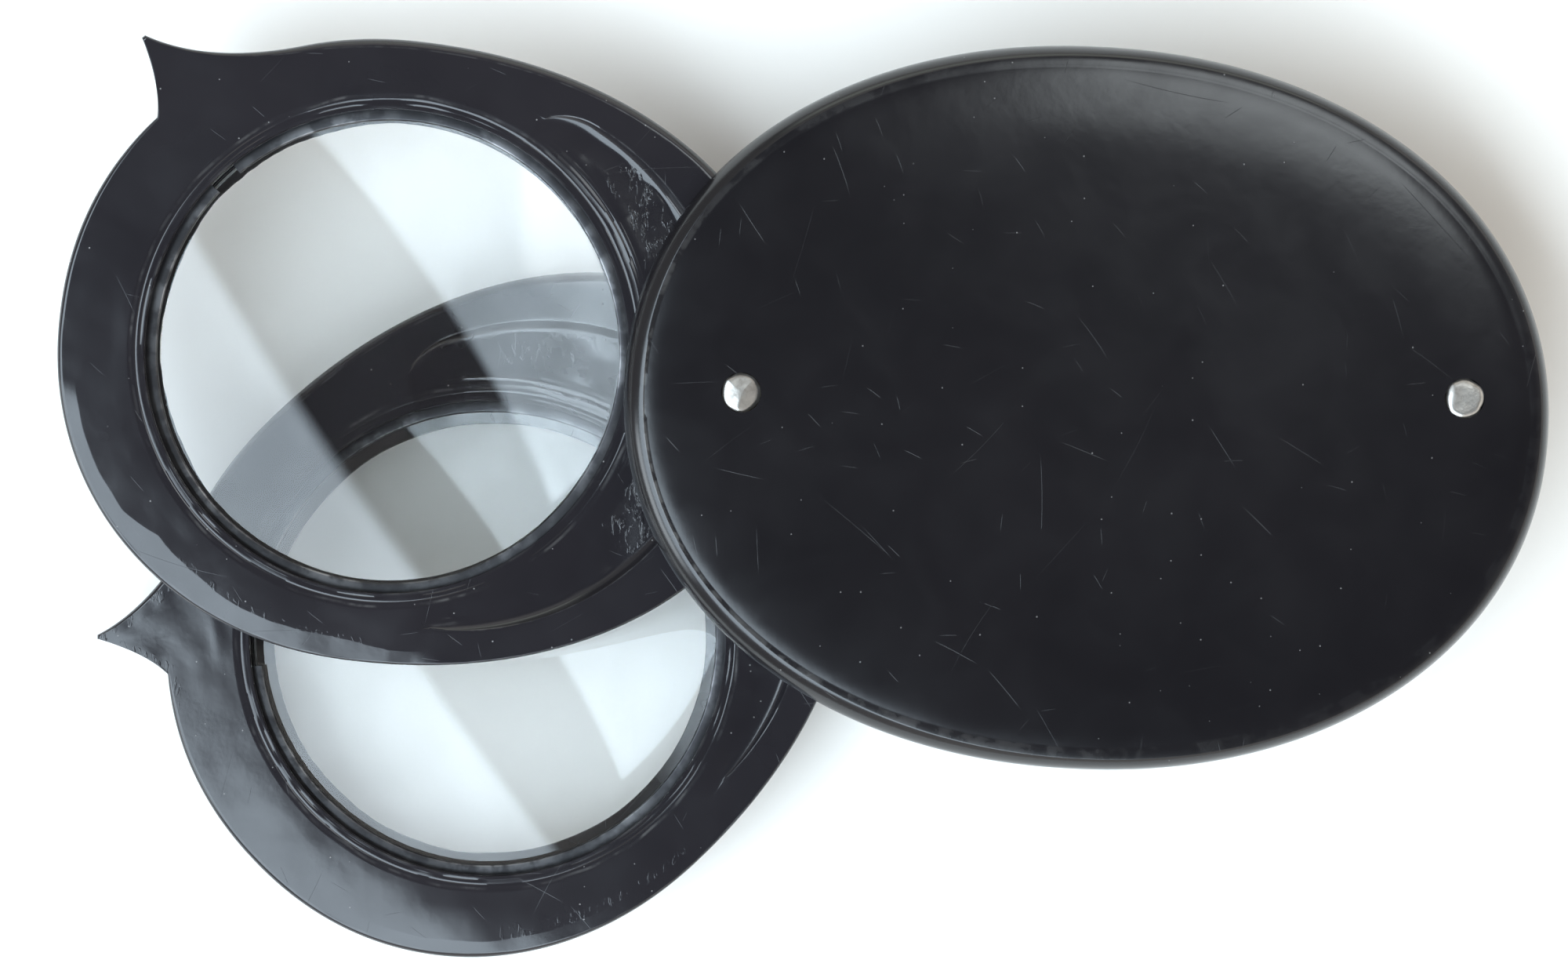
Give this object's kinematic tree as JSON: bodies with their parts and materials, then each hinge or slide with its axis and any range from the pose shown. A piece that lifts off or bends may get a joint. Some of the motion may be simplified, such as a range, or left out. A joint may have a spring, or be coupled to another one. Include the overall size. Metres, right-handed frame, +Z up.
{
  "type": "folding hand lens",
  "caption": "Folding pocket hand lens: round glasses in black frames with pointed thumb horns, swinging out from between riveted oval covers.",
  "frame": {"origin": "on the lower cover's underside, midway between the two rivets", "axes": "+X from the pivot rivet to the end rivet, +Z up out of the upper cover along the rivets, +Y across the case"},
  "size_m": [0.1003, 0.0626, 0.0152],
  "materials": {
    "cover": "worn polish",
    "frame": "worn polish",
    "ring": "satin",
    "rivet": "peened nickel silver",
    "washer": "dull",
    "glass": "polished"
  },
  "bodies": {
    "case": {"upper_cover": "cover", "lower_cover": "cover", "pivot_rivet": "rivet", "end_rivet": "rivet", "end_spacer": "rivet", "upper_pivot_washer": "washer", "middle_pivot_washer": "washer", "lower_pivot_washer": "washer"},
    "upper_frame": {"upper_lens_frame": "frame", "upper_lens": "glass", "upper_retaining_ring": "ring"},
    "lower_frame": {"lower_lens_frame": "frame", "lower_lens": "glass", "lower_retaining_ring": "ring"}
  },
  "joints": [
    {"name": "upper_frame_swing", "type": "hinge", "parent": "case", "child": "upper_frame", "pos_m": [-0.0241, 0, 0.01], "axis": [0, 0, 1], "range_deg": [-147, 208]},
    {"name": "lower_frame_swing", "type": "hinge", "parent": "case", "child": "lower_frame", "pos_m": [-0.0241, 0, 0.00515], "axis": [0, 0, 1], "range_deg": [-198, 156]}
  ]
}
